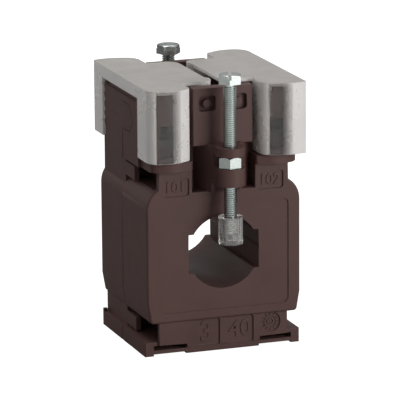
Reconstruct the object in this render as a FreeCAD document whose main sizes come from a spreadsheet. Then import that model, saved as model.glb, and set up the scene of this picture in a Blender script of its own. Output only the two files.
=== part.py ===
"""Window-type current transformer with two primary clamp screws and clear terminal covers.

Frame: X to the right along the front, Y to the rear, Z up, in millimetres.
The origin is the middle of the base, on the surface that the transformer stands on.
"""
import FreeCAD
import Part
import math
import os
import re
import Sketcher

SIZES = [
    # Core housing, one half each side of the seam
    ("body_width", 60.0, "core housing, side to side"),
    ("body_depth", 54.2, "core housing, front to rear"),
    ("body_bottom", 12.8, "underside of the core housing"),
    ("body_top", 64.7, "top of the core housing"),
    ("top_round", 9.0, "radius of the top corners"),
    ("taper_start", 20.4, "height below which the sides draw in"),
    ("taper_inset", 1.3, "how far each side draws in"),
    ("bottom_round", 1.3, "radius of the bottom corners"),
    ("edge_round", 0.8, "radius round the front face"),
    ("shell_wall", 1.8, "wall of the core housing"),
    ("seam_lap", 1.4, "how far the left wall reaches beyond the seam"),
    # Primary window
    ("window_height", 38.1, "centre of the primary window"),
    ("window_diameter", 27.7, "round conductor opening"),
    ("slot_width", 27.4, "flat conductor opening, across"),
    ("slot_height", 14.6, "flat conductor opening, upright"),
    ("tube_wall", 1.2, "wall of the tube round the window"),
    # Shallow panel in the front face
    ("panel_round", 2.4, "corner radius of the recessed panel"),
    ("panel_depth", 0.4, "depth of the recessed panel"),
    # Necks above and below the core housing, and the base
    ("base_height", 5.4, "top of the base plate"),
    ("foot_height", 0.8, "gap under the base between its feet"),
    ("centre_foot", 28.6, "width of the centre foot"),
    ("slot_outer", 27.1, "outer end of the foot slots from the middle"),
    ("foot_slot_bottom", 2.2, "lower edge of the slots for fixing feet"),
    ("foot_slot_gap", 1.8, "height of the slots for fixing feet"),
    # Side openings and the snap hooks that show in them
    ("opening_depth", 6.0, "side openings, depth into the neck"),
    ("closing_proud", 3.1, "closing wall, beyond the neck"),
    ("closing_front", 17.4, "front end of the closing wall from the seam"),
    ("closing_rear", 25.6, "rear end of the rear shell's closing wall from the seam"),
    ("hook_reach", 8.8, "snap hook, beyond the seam"),
    ("hook_thickness", 1.8, "snap hook, thickness"),
    ("hook_height", 5.2, "snap hook, upright"),
    ("hook_lift", 0.6, "snap hook, above the lower edge of its opening"),
    # Terminal tower
    ("pillar_gap", 30.8, "distance between the left and right pillars"),
    ("block_width", 23.2, "centre block, across"),
    ("rim_thickness", 4.4, "front rim of the centre block"),
    ("well_width", 19.6, "well in the top of the tower, across"),
    ("niche_width", 24.6, "niche under the centre block, across"),
    ("niche_wall", 1.2, "wall between the niche and the space for the core"),
    ("ledge_round", 4.0, "outer corner radius of the ledges"),
    ("ledge_crown_round", 12.0, "crown radius of the ledges"),
    ("cheek_left", 16.3, "end of the left cheek from the seam"),
    ("cheek_right", 21.4, "end of the right cheek from the seam"),
    ("cheek_step", 1.8, "height of the set-back band along the top of a cheek"),
    ("cheek_set_back", 0.5, "how far that band is set back"),
    ("rib_radius", 1.6, "grip ribs at the ends of the cheeks"),
    ("rib_proud", 1.0, "how far the grip ribs stand out"),
    ("rib_pitch", 3.55, "pitch of the grip ribs"),
    ("rib_first", 79.6, "height of the lowest grip rib"),
    ("rib_count", 5, "number of grip ribs at one end"),
    ("tongue_bottom", 81.6, "lower edge of the arrow-shaped tongue"),
    ("tongue_top", 91.5, "upper edge of the arrow-shaped tongue"),
    ("tongue_shoulder", 6.5, "shoulders of the tongue beyond the seam"),
    ("tongue_point", 10.8, "point of the tongue beyond the seam"),
    ("tongue_gap", 0.2, "gap round the tongue"),
    # Clamp bracket
    ("lug_radius", 5.3, "rounded lugs round the clamp screw"),
    ("nut_back", 4.45, "back wall of the nut's place from the screw axis"),
    ("bracket_root", 19.2, "bracket, across at its root"),
    ("bracket_nose", 9.8, "bracket, across at its nose"),
    ("screw_hole", 5.5, "holes in the lugs"),
    # Labels pressed into the front, left bare
    ("label_width", 10.5, "upper label pockets, across"),
    ("label_height", 6.9, "upper label pockets, upright"),
    ("label_spread", 36.9, "distance between the upper label pockets"),
    ("label_round", 1.2, "corner radius of the label pockets"),
    ("label_depth", 0.6, "depth of the label pockets"),
    ("tile_size", 10.4, "lower label pockets, square"),
    ("tile_bottom", 2.4, "lower edge of the lower label pockets"),
    ("tile_gap", 2.9, "gap between the two lower label pockets"),
    ("dial_radius", 3.9, "round label pocket"),
    ("dial_side", 18.6, "round label pocket from the middle"),
    ("dial_height", 9.2, "centre of the round label pocket"),
    # Latch pockets in the centre block
    ("latch_width", 6.6, "latch pockets, across"),
    ("latch_height", 5.8, "latch pockets, upright"),
    ("latch_spread", 12.2, "distance between the latch pockets"),
    ("latch_depth", 2.0, "depth of the latch pockets"),
    ("latch_pin", 1.5, "radius of the round pin in a latch pocket"),
    # Clamp screws, nuts and tips
    ("thread_diameter", 5.0, "clamp and terminal screw thread"),
    ("thread_fit", 0.05, "running clearance of a thread, radial"),
    ("screw_length", 56.0, "clamp screw below its head"),
    ("rear_screw_drop", 1.4, "how much lower the rear clamp screw stands"),
    ("hexagon_flats", 8.0, "hexagon across its flats"),
    ("screw_head_height", 3.5, "clamp screw head"),
    ("driver_slot_width", 1.2, "screwdriver slot"),
    ("driver_slot_depth", 1.5, "screwdriver slot, depth"),
    ("hexagon_chamfer", 0.45, "chamfer of hexagon corners"),
    ("nut_height", 4.1, "clamp nut"),
    ("hexagon_turn", 10.4, "turn of the hexagons about their axis, degrees"),
    ("tip_flats", 9.1, "insulating tip across its flats"),
    ("tip_height", 10.0, "insulating tip"),
    ("tip_below_screw", 3.8, "insulating tip beyond the screw's end"),
    ("tip_hollow", 3.4, "hollow below the screw in the tip, across"),
    ("tip_floor", 1.2, "floor of the tip below that hollow"),
    ("tip_turn", 2.9, "turn of the tip about its axis, degrees"),
    # Terminals
    ("entry_width", 6.8, "wire entry, across"),
    ("chamber_width", 9.4, "terminal chamber, across"),
    ("bar_height", 3.0, "terminal bar"),
    ("bar_side_gap", 0.2, "terminal bar in its chamber, each side"),
    ("shaft_diameter", 9.4, "screwdriver shaft above a terminal screw"),
    ("plate_size", 8.6, "wire clamp plate, square"),
    ("plate_height", 1.4, "wire clamp plate"),
    ("pan_head_diameter", 8.6, "terminal screw head"),
    ("pan_head_height", 3.0, "terminal screw head"),
    ("pan_head_round", 1.0, "terminal screw head, edge radius"),
    ("terminal_screw_length", 11.0, "terminal screw below its head"),
    # Core, winding and leads
    ("winding_outer", 22.0, "outer radius of the taped winding"),
    ("winding_inner", 17.2, "inner radius of the winding"),
    ("winding_build", 0.6, "thickness of the winding"),
    ("tape_thickness", 0.2, "tape round the winding"),
    ("cap_wall", 0.3, "wall of the core's insulating caps"),
    ("inner_fit", 0.1, "clearance between the nested core pieces"),
    ("lead_diameter", 2.0, "secondary leads"),
    ("lead_side", 18.4, "secondary leads from the middle"),
    ("lead_bend", 2.4, "bend radius of a lead"),
    ("lead_first_bend", 57.6, "height of a lead's first bend"),
    ("lead_second_bend", 61.2, "height of a lead's second bend"),
    ("lead_hole", 2.6, "hole for a lead in the tower"),
    # Terminal covers
    ("cover_wall", 1.4, "wall of the covers"),
    ("cover_leg_start", 17.9, "side edge of the rounded leg from the seam"),
    ("square_leg_start", 22.9, "side edge of the other leg from the seam"),
    ("cover_inner_side", 13.8, "inner side of a leg from the middle"),
    ("cover_crown_side", 21.4, "crown of a leg's front from the middle"),
    ("cover_outer_round", 6.0, "radius of the rounded outer corner"),
    ("cover_crown_round", 10.0, "radius of the crown"),
    ("cover_inner_round", 2.0, "radius of the inner corner"),
    ("cover_small_round", 0.8, "radius of the square corner"),
    ("cover_top_round", 0.9, "radius round the top"),
    ("cover_split", 4.4, "gap between the two covers' tops"),
    ("cover_top_corner", 5.0, "corner radius of the top"),
    ("boss_radius", 4.2, "round boss at the inner edge of a cover"),
    ("boss_side", 5.2, "centre of the boss from the middle"),
]

# Sizes that follow from the ones above
DERIVED = {
    "winding_length": "(body_depth - 2 * shell_wall - 0.6)",
    "clamp_reach": "(body_depth / 2 + 6.9)",
    "pillar_depth": "(body_depth - 1)",
    "tower_depth": "(pillar_depth - 12.8)",
    "foot_neck_depth": "(body_depth - 2)",
    "base_depth": "(body_depth - 4)",
    "opening_front": "(body_depth / 2 - 2.5)",
    "niche_back": "(body_depth / 2 - 7.6)",
    "ledge_front": "(pillar_depth / 2 + 4)",
    "cover_front": "(ledge_front + 3.3)",
    "cover_shoulder": "(cover_front - 2.1)",
    "cover_square_corner": "(cover_front - 0.7)",
    "cover_inner_corner": "(cover_front - 4.3)",
    "cover_top_depth": "(tower_depth - 1)",
    "boss_reach": "(tower_depth / 2 - 4.6)",
    "chamber_end": "(pillar_depth / 2 - 4)",
    "terminal_reach": "(chamber_end - 8.1)",
    "neck_width": "(body_width - 9.4)",
    "panel_width": "(body_width - 9.2)",
    "base_width": "(body_width + 0.8)",
    "tower_width": "(body_width - 3.2)",
    "cheek_width": "(tower_width + 2.2)",
    "terminal_spread": "(tower_width - 13.6)",
    "cover_half": "(body_width / 2 + 0.2)",
    "panel_bottom": "(body_bottom + 3.6)",
    "panel_top": "(body_top - 8.1)",
    "niche_bottom": "(body_top - 3.2)",
    "tower_bottom": "(body_top + 5.5)",
    "tower_top": "(tower_bottom + 29.3)",
    "ledge_top": "(tower_bottom + 3.4)",
    "block_bottom": "(tower_bottom + 8.4)",
    "block_top": "(tower_top + 0.6)",
    "well_floor": "(tower_top - 7)",
    "cheek_top": "(tower_top - 3.3)",
    "lug_bottom": "(body_top + 0.3)",
    "lug_top": "(lug_bottom + 14.2)",
    "nut_gap_bottom": "(lug_bottom + 6.5)",
    "nut_gap_top": "(nut_gap_bottom + 4.5)",
    "screw_head_base": "(tower_top + 3.3)",
    "label_bottom": "(body_top - 4.3)",
    "latch_bottom": "(tower_top - 8.1)",
    "entry_bottom": "(tower_bottom + 4.8)",
    "bar_bottom": "(tower_bottom + 7.8)",
    "chamber_top": "(tower_bottom + 17.8)",
    "cover_bottom": "(ledge_top + 0.6)",
    "cover_top": "(tower_top + 1.7)",
    "boss_bottom": "(cover_top - 7)",
}

doc = FreeCAD.newDocument("CurrentTransformer")
sheet = doc.addObject("Spreadsheet::Sheet", "Sizes")
for row, (alias, value, note) in enumerate(SIZES, start=1):
    sheet.set("A%d" % row, note)
    sheet.set("B%d" % row, str(value))
    sheet.setAlias("B%d" % row, alias)
doc.recompute()

NAMES = re.compile(r"\b(%s)\b" % "|".join(alias for alias, _, _ in SIZES))
FOLLOWING = re.compile(r"\b(%s)\b" % "|".join(DERIVED))
LARGE = 200.0
UP = FreeCAD.Vector(0, 0, 1)
nodes = []


def formula(text):
    """The sheet's form of an expression that is written with bare size names."""
    text = str(text)
    while FOLLOWING.search(text):
        text = FOLLOWING.sub(lambda match: DERIVED[match.group(1)], text)
    return NAMES.sub(r"Sizes.\1", text)


def number(text):
    """The present value of an expression."""
    return float(sheet.evalExpression(formula(text)))


def fix(sketch, kind, geometry, point, text):
    """Hold one coordinate of a sketch point, measured from the sketch's origin."""
    index = sketch.addConstraint(Sketcher.Constraint(kind, -1, 1, geometry, point, number(text)))
    sketch.setExpression("Constraints[%d]" % index, formula(text))


def place(sketch, geometry, point, x, y):
    """Hold both coordinates of a sketch point."""
    fix(sketch, "DistanceX", geometry, point, x)
    fix(sketch, "DistanceY", geometry, point, y)


def set_radius(sketch, geometry, text):
    """Bind the radius of a circle or an arc."""
    index = sketch.addConstraint(Sketcher.Constraint("Radius", geometry, number(text)))
    sketch.setExpression("Constraints[%d]" % index, formula(text))


def sketch_on(body, plane, level, name):
    """A sketch parallel to one of the body's own planes, at a level along its normal."""
    sketch = body.newObject("Sketcher::SketchObject", name + "Sketch")
    support = next(item for item in body.Origin.OriginFeatures if item.Role == plane)
    sketch.AttachmentSupport = [(support, "")]
    sketch.MapMode = "FlatFace"
    sketch.setExpression("AttachmentOffset.Base.z", formula(level))
    return sketch


def corner_points(spots, radii, index, closed):
    """Where the outline enters and leaves a corner, and the centre of its arc."""
    spot = spots[index]
    end = not closed and index in (0, len(spots) - 1)
    if end or radii[index] is None:
        return spot, spot, None
    back = (spots[index - 1] - spot).normalize()
    ahead = (spots[(index + 1) % len(spots)] - spot).normalize()
    half = back.getAngle(ahead) / 2
    radius = number(radii[index])
    reach = radius / math.tan(half)
    centre = spot + (back + ahead).normalize() * (radius / math.sin(half))
    return spot + back * reach, spot + ahead * reach, centre


def add_arc(sketch, before, after, enter, leave, centre, corner):
    """Round one corner with an arc tangent to the lines before and after it."""
    across = (centre - enter).cross(leave - enter)
    turns_left = across.z < 0
    first, last = (enter, leave) if turns_left else (leave, enter)
    circle = Part.Circle(centre, UP, (enter - centre).Length)
    start = math.atan2(first.y - centre.y, first.x - centre.x)
    stop = math.atan2(last.y - centre.y, last.x - centre.x)
    arc = sketch.addGeometry(Part.ArcOfCircle(circle, start, stop))
    near, far = (1, 2) if turns_left else (2, 1)
    sketch.addConstraint(Sketcher.Constraint("Tangent", before, 2, arc, near))
    sketch.addConstraint(Sketcher.Constraint("Tangent", arc, far, after, 1))
    x, y, radius = corner
    spot = FreeCAD.Vector(number(x), number(y), 0)
    point = sketch.addGeometry(Part.Point(spot), True)
    place(sketch, point, 1, x, y)
    sketch.addConstraint(Sketcher.Constraint("PointOnObject", point, 1, before))
    sketch.addConstraint(Sketcher.Constraint("PointOnObject", point, 1, after))
    set_radius(sketch, arc, radius)


def outline(sketch, corners, closed=True):
    """Draw an outline through corners of the form (x, y) or (x, y, radius)."""
    spots = [FreeCAD.Vector(number(corner[0]), number(corner[1]), 0) for corner in corners]
    radii = [corner[2] if len(corner) > 2 else None for corner in corners]
    count = len(corners)
    points = [corner_points(spots, radii, index, closed) for index in range(count)]
    runs = count if closed else count - 1
    lines = []
    for index in range(runs):
        start = points[index][1]
        stop = points[(index + 1) % count][0]
        lines.append(sketch.addGeometry(Part.LineSegment(start, stop)))
    if not closed:
        place(sketch, lines[0], 1, *corners[0][:2])
        place(sketch, lines[-1], 2, *corners[-1][:2])
    for index in range(0 if closed else 1, runs):
        enter, leave, centre = points[index]
        before = lines[index - 1]
        after = lines[index]
        if centre is None:
            sketch.addConstraint(Sketcher.Constraint("Coincident", before, 2, after, 1))
            place(sketch, after, 1, *corners[index][:2])
        else:
            add_arc(sketch, before, after, enter, leave, centre, corners[index])


def rectangle(sketch, left, bottom, right, top, radius=None):
    """Draw a rectangle, with rounded corners if a radius is given."""
    corners = [(left, bottom), (right, bottom), (right, top), (left, top)]
    outline(sketch, [corner + (radius,) if radius else corner for corner in corners])


def circle(sketch, x, y, radius):
    """Draw a circle."""
    centre = FreeCAD.Vector(number(x), number(y), 0)
    geometry = sketch.addGeometry(Part.Circle(centre, UP, number(radius)))
    place(sketch, geometry, 3, x, y)
    set_radius(sketch, geometry, radius)


def volume(body):
    """Volume of a body as it stands."""
    return body.Shape.Volume if body.Tip and not body.Shape.isNull() else 0.0


def grow(body, sketch, length, name, reverse=False):
    """Pad a sketch and check that the body has grown."""
    before = volume(body)
    feature = body.newObject("PartDesign::Pad", name)
    feature.Profile = (sketch, [""])
    feature.Reversed = reverse
    feature.setExpression("Length", formula(length))
    doc.recompute()
    if volume(body) <= before:
        raise ValueError("%s adds nothing" % name)
    return feature


def cut(body, sketch, length, name, reverse=False):
    """Pocket a sketch and check that the body has shrunk."""
    before = volume(body)
    feature = body.newObject("PartDesign::Pocket", name)
    feature.Profile = (sketch, [""])
    feature.Reversed = reverse
    feature.setExpression("Length", formula(length))
    doc.recompute()
    if volume(body) >= before:
        raise ValueError("%s removes nothing" % name)
    return feature


def hollow(body, sketch, length, name, reverse=False):
    """Add a space to a tool body, in the direction in which a pocket would cut."""
    return grow(body, sketch, length, name, not reverse)


def round_edges(body, chosen, radius, name):
    """Fillet the edges of the present shape that the test picks out."""
    base = body.Tip
    picked = ["Edge%d" % (index + 1) for index, edge in enumerate(base.Shape.Edges) if chosen(edge)]
    feature = body.newObject("PartDesign::Fillet", name)
    feature.Base = (base, picked)
    feature.setExpression("Radius", formula(radius))
    doc.recompute()
    return feature


def new_body(label):
    """A body that becomes one node."""
    body = doc.addObject("PartDesign::Body", "".join(word.title() for word in label.split("_")))
    body.Label = label
    nodes.append(body)
    return body


def put(item, x="0", y="0", z="0", rotation=None):
    """Bind an object's place, with a fixed turn."""
    item.Placement = FreeCAD.Placement(FreeCAD.Vector(0, 0, 0), rotation or FreeCAD.Rotation())
    for axis, text in zip("xyz", (x, y, z)):
        item.setExpression("Placement.Base." + axis, formula(text))
    return item


def turned_copy(source, label, drop="0", own_turn=0):
    """The same moulding or piece, turned by half a turn about the vertical, and about its own axis."""
    copy = doc.addObject("Part::Compound", "".join(word.title() for word in label.split("_")))
    copy.Label = label
    copy.Links = [source]
    turn = FreeCAD.Rotation(UP, 180 + own_turn)
    x = "clamp_reach * sin(%g)" % own_turn
    y = "clamp_reach * (1 - cos(%g))" % own_turn
    put(copy, x=x, y=y, z="-(%s)" % drop, rotation=turn)
    nodes.append(copy)
    return copy


def mirrored(corners, side):
    """Corners drawn for the right side, put on the side that is +1 or -1."""
    return [("%d * (%s)" % (side, corner[0]),) + tuple(corner[1:]) for corner in corners]


def housing_outline(inset="0"):
    """Front view of the core housing, set in by a wall where one is given."""
    half = "body_width / 2 - (%s)" % inset
    low = "body_bottom + (%s)" % inset
    high = "body_top - (%s)" % inset
    foot = "body_width / 2 - taper_inset - (%s)" % inset
    crown = "top_round - (%s)" % inset
    return [
        ("-(%s)" % foot, low, "bottom_round"),
        (foot, low, "bottom_round"),
        (half, "taper_start"),
        (half, high, crown),
        ("-(%s)" % half, high, crown),
        ("-(%s)" % half, "taper_start"),
    ]


def lap_outline(side):
    """Front view of what lies on the far side of a lap: all up to the stepped lap line."""
    body_line = "body_width / 2 - shell_wall"
    neck_line = "neck_width / 2"
    tower_line = "tower_width / 2 - 1.2"
    sign = "%d * " % side
    return [
        ("-body_width", "-1"),
        (sign + "(%s)" % body_line, "-1"),
        (sign + "(%s)" % body_line, "base_height"),
        (sign + "(%s)" % neck_line, "base_height"),
        (sign + "(%s)" % neck_line, "body_bottom + bottom_round"),
        (sign + "(%s)" % body_line, "body_bottom + bottom_round"),
        (sign + "(%s)" % body_line, "body_top - top_round / 2"),
        (sign + "(%s)" % neck_line, "body_top - top_round / 2"),
        (sign + "(%s)" % neck_line, "tower_bottom"),
        (sign + "(%s)" % tower_line, "tower_bottom"),
        (sign + "(%s)" % tower_line, "cover_top"),
        ("-body_width", "cover_top"),
    ]


def tongue_outline(reach, gap="0"):
    """Side view of the arrow-shaped tongue, pointing along the sketch's first axis by reach."""
    middle = "(tongue_bottom + tongue_top) / 2"
    root = "%d * -(seam_lap + 1.6)" % reach
    return [
        (root, "tongue_bottom - (%s)" % gap),
        ("%d * (tongue_shoulder + (%s))" % (reach, gap), "tongue_bottom - (%s)" % gap),
        ("%d * (tongue_point + (%s))" % (reach, gap), middle),
        ("%d * (tongue_shoulder + (%s))" % (reach, gap), "tongue_top + (%s)" % gap),
        (root, "tongue_top + (%s)" % gap),
    ]


def core_housing(body):
    """The boxy middle that holds the core, with its front edges rounded."""
    sketch = sketch_on(body, "XZ_Plane", "-seam_lap", "Housing")
    outline(sketch, housing_outline())
    grow(body, sketch, "body_depth / 2 + seam_lap", "Housing")
    front = -number("body_depth") / 2

    def on_front(edge):
        return all(abs(vertex.Point.y - front) < 1e-4 for vertex in edge.Vertexes)

    round_edges(body, on_front, "edge_round", "HousingEdge")


def necks_and_base(body):
    """The two necks, the base plate and the closing walls of the right side."""
    sketch = sketch_on(body, "XZ_Plane", "0", "LowerNeck")
    rectangle(sketch, "-neck_width / 2", "base_height / 2", "neck_width / 2", "body_bottom + shell_wall")
    grow(body, sketch, "foot_neck_depth / 2", "LowerNeck")
    sketch = sketch_on(body, "XZ_Plane", "0", "UpperNeck")
    rectangle(sketch, "-neck_width / 2", "body_top - top_round / 2", "neck_width / 2", "tower_bottom + 1")
    grow(body, sketch, "body_depth / 2", "UpperNeck")
    sketch = sketch_on(body, "XZ_Plane", "-seam_lap", "Base")
    rectangle(sketch, "-base_width / 2", "0", "base_width / 2", "base_height")
    grow(body, sketch, "base_depth / 2 + seam_lap", "Base")
    spans = {"Lower": ("base_height / 2", "body_bottom + shell_wall"),
             "Upper": ("body_top - top_round / 2", "tower_bottom + 1")}
    for name, (low, high) in spans.items():
        sketch = sketch_on(body, "XZ_Plane", "-seam_lap", name + "Closing")
        rectangle(sketch, "neck_width / 2 - 1", low, "neck_width / 2 + closing_proud", high)
        grow(body, sketch, "closing_front + seam_lap", name + "Closing")


def terminal_tower(body):
    """The block above the upper neck that carries the terminals."""
    sketch = sketch_on(body, "XZ_Plane", "-seam_lap", "Tower")
    rectangle(sketch, "-tower_width / 2", "tower_bottom", "tower_width / 2", "tower_top")
    grow(body, sketch, "tower_depth / 2 + seam_lap", "Tower")
    sketch = sketch_on(body, "XZ_Plane", "0", "Pillars")
    rectangle(sketch, "pillar_gap / 2", "tower_bottom", "tower_width / 2", "tower_top")
    rectangle(sketch, "-tower_width / 2", "tower_bottom", "-pillar_gap / 2", "tower_top")
    rectangle(sketch, "-block_width / 2", "block_bottom", "block_width / 2", "tower_top")
    grow(body, sketch, "pillar_depth / 2", "Pillars")
    sketch = sketch_on(body, "XY_Plane", "tower_bottom", "Ledges")
    for side in (1, -1):
        outline(sketch, mirrored([
            ("niche_width / 2", "0"),
            ("niche_width / 2", "-(ledge_front - 2.4)", "1"),
            ("cover_crown_side", "-ledge_front", "ledge_crown_round"),
            ("tower_width / 2", "-(ledge_front - 3.1)", "ledge_round"),
            ("tower_width / 2", "0"),
        ], side))
    grow(body, sketch, "ledge_top - tower_bottom", "Ledges")
    sketch = sketch_on(body, "XZ_Plane", "pillar_depth / 2 - rim_thickness", "Rim")
    rectangle(sketch, "-block_width / 2", "block_bottom", "block_width / 2", "block_top")
    grow(body, sketch, "rim_thickness", "Rim")


def cheeks(body):
    """The side walls between the covers' legs, with grip ribs at their ends."""
    for side, name, level in ((1, "Right", "tower_width / 2 - 1"), (-1, "Left", "-cheek_width / 2")):
        reach = "cheek_" + name.lower()
        sketch = sketch_on(body, "XZ_Plane", "-seam_lap", name + "Cheek")
        outline(sketch, mirrored([
            ("tower_width / 2 - 1", "tower_bottom"),
            ("cheek_width / 2", "tower_bottom"),
            ("cheek_width / 2", "cheek_top - cheek_step"),
            ("cheek_width / 2 - cheek_set_back", "cheek_top - cheek_step"),
            ("cheek_width / 2 - cheek_set_back", "cheek_top"),
            ("tower_width / 2 - 1", "cheek_top"),
        ], side))
        grow(body, sketch, reach + " + seam_lap", name + "Cheek")
        sketch = sketch_on(body, "YZ_Plane", level, name + "Rib")
        circle(sketch, "-(%s + rib_proud - rib_radius)" % reach, "rib_first", "rib_radius")
        rib = grow(body, sketch, "cheek_width / 2 - tower_width / 2 + 1", name + "Rib")
        pattern = body.newObject("PartDesign::LinearPattern", name + "Ribs")
        pattern.Originals = [rib]
        pattern.Direction = (sketch, ["V_Axis"])
        pattern.setExpression("Length", formula("rib_pitch * (rib_count - 1)"))
        pattern.setExpression("Occurrences", formula("rib_count"))
        body.Tip = pattern
        doc.recompute()


def clamp_bracket(body):
    """The niche below the centre block and the tapered bracket with its two lugs."""
    sketch = sketch_on(body, "XZ_Plane", "niche_back", "Niche")
    rectangle(sketch, "-niche_width / 2", "niche_bottom", "niche_width / 2", "block_bottom")
    cut(body, sketch, "body_depth", "Niche", reverse=True)
    nose = "-(clamp_reach - nut_back)"
    sketch = sketch_on(body, "XY_Plane", "niche_bottom", "Bracket")
    outline(sketch, [
        ("-bracket_nose / 2", nose),
        ("bracket_nose / 2", nose),
        ("niche_width / 2 + 0.4", "-niche_back - 0.8"),
        ("niche_width / 2 + 0.4", "-niche_back + 1"),
        ("-bracket_root / 2", "-niche_back + 1"),
    ])
    grow(body, sketch, "lug_top - niche_bottom", "Bracket")
    sketch = sketch_on(body, "XY_Plane", "niche_bottom - 1", "TipClearance")
    rectangle(sketch, "-lug_radius", "-clamp_reach", "lug_radius", "-(clamp_reach - tip_flats / 2 - 0.9)")
    cut(body, sketch, "lug_bottom - niche_bottom + 1", "TipClearance", reverse=True)
    sketch = sketch_on(body, "XY_Plane", "lug_bottom", "LugRoot")
    rectangle(sketch, "-bracket_nose / 2", "-clamp_reach", "bracket_nose / 2", nose + " + 1")
    grow(body, sketch, "lug_top - lug_bottom", "LugRoot")
    sketch = sketch_on(body, "XY_Plane", "lug_bottom", "Lugs")
    circle(sketch, "0", "-clamp_reach", "lug_radius")
    grow(body, sketch, "lug_top - lug_bottom", "Lugs")


def inside(body):
    """The space for the core round the window's tube, the window itself and the nut's place."""
    sketch = sketch_on(body, "XZ_Plane", "body_depth / 2 - shell_wall", "Cavity")
    outline(sketch, housing_outline("shell_wall"))
    hollow(body, sketch, "body_depth / 2 - shell_wall + seam_lap + 1", "Cavity")
    sketch = sketch_on(body, "XZ_Plane", "body_depth / 2", "NicheFloor")
    half = "niche_width / 2 + niche_wall"
    rectangle(sketch, "-(%s)" % half, "niche_bottom - niche_wall", half, "body_top")
    cut(body, sketch, "body_depth / 2 - niche_back + niche_wall", "NicheFloor")
    sketch = sketch_on(body, "XZ_Plane", "body_depth / 2", "RoundTube")
    circle(sketch, "0", "window_height", "window_diameter / 2 + tube_wall")
    cut(body, sketch, "body_depth / 2", "RoundTube")
    sketch = sketch_on(body, "XZ_Plane", "body_depth / 2", "FlatTube")
    half = "slot_width / 2 + tube_wall"
    rise = "slot_height / 2 + tube_wall"
    rectangle(sketch, "-(%s)" % half, "window_height - (%s)" % rise, half, "window_height + (%s)" % rise)
    cut(body, sketch, "body_depth / 2", "FlatTube")
    sketch = sketch_on(body, "XZ_Plane", "body_depth / 2 + 1", "RoundWindow")
    circle(sketch, "0", "window_height", "window_diameter / 2")
    hollow(body, sketch, "body_depth / 2 + 2", "RoundWindow")
    sketch = sketch_on(body, "XZ_Plane", "body_depth / 2 + 1", "FlatWindow")
    low = "window_height - slot_height / 2"
    high = "window_height + slot_height / 2"
    rectangle(sketch, "-slot_width / 2", low, "slot_width / 2", high)
    hollow(body, sketch, "body_depth / 2 + 2", "FlatWindow")
    sketch = sketch_on(body, "XY_Plane", "nut_gap_bottom", "NutPlace")
    rectangle(sketch, "-lug_radius - 1", "-clamp_reach - lug_radius - 1", "lug_radius + 1", "-(clamp_reach - nut_back)")
    grow(body, sketch, "nut_gap_top - nut_gap_bottom", "NutPlace")
    sketch = sketch_on(body, "XY_Plane", "lug_bottom - 1", "ScrewHole")
    circle(sketch, "0", "-clamp_reach", "screw_hole / 2")
    grow(body, sketch, "lug_top - lug_bottom + 2", "ScrewHole")


def front_details(body):
    """The shallow panel and the bare label pockets in the front face."""
    sketch = sketch_on(body, "XZ_Plane", "body_depth / 2 + 1", "Panel")
    rectangle(sketch, "-panel_width / 2", "panel_bottom", "panel_width / 2", "panel_top", "panel_round")
    hollow(body, sketch, "panel_depth + 1", "Panel")
    sketch = sketch_on(body, "XZ_Plane", "body_depth / 2 + 1", "UpperLabels")
    for side in (1, -1):
        middle = "%d * label_spread / 2 - 0.3" % side
        rectangle(sketch, middle + " - label_width / 2", "label_bottom",
                  middle + " + label_width / 2", "label_bottom + label_height", "label_round")
    hollow(body, sketch, "label_depth + 1", "UpperLabels")
    sketch = sketch_on(body, "XZ_Plane", "foot_neck_depth / 2 + 1", "LowerLabels")
    for near in ("tile_gap / 2", "-tile_gap / 2 - tile_size"):
        rectangle(sketch, near, "tile_bottom", near + " + tile_size", "tile_bottom + tile_size", "label_round")
    circle(sketch, "dial_side", "dial_height", "dial_radius")
    hollow(body, sketch, "label_depth + 1", "LowerLabels")
    sketch = sketch_on(body, "XZ_Plane", "pillar_depth / 2 + 1", "Latches")
    for side in (1, -1):
        near = "%d * latch_spread / 2 - latch_width / 2" % side
        rectangle(sketch, near, "latch_bottom", near + " + latch_width",
                  "latch_bottom + latch_height", "label_round")
        circle(sketch, "%d * latch_spread / 2" % side, "latch_bottom + latch_height / 2", "latch_pin")
    hollow(body, sketch, "latch_depth + 1", "Latches")


def openings(body):
    """The openings in the left side, the slots in the base and the gaps between its feet."""
    sketch = sketch_on(body, "YZ_Plane", "-neck_width / 2 - 4", "Openings")
    for low, high in (("base_height", "body_bottom"), ("body_top - 1.7", "tower_bottom")):
        rectangle(sketch, "-opening_front", low, "seam_lap + 1", high)
    grow(body, sketch, "opening_depth + 4", "Openings")
    sketch = sketch_on(body, "XZ_Plane", "base_depth / 2 + 1", "FootSlots")
    for inner, outer in (("centre_foot / 2", "slot_outer"), ("-slot_outer", "-centre_foot / 2")):
        rectangle(sketch, inner, "foot_slot_bottom", outer, "foot_slot_bottom + foot_slot_gap")
        rectangle(sketch, inner, "-1", outer, "foot_height")
    hollow(body, sketch, "base_depth / 2 + seam_lap + 2", "FootSlots")


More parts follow.
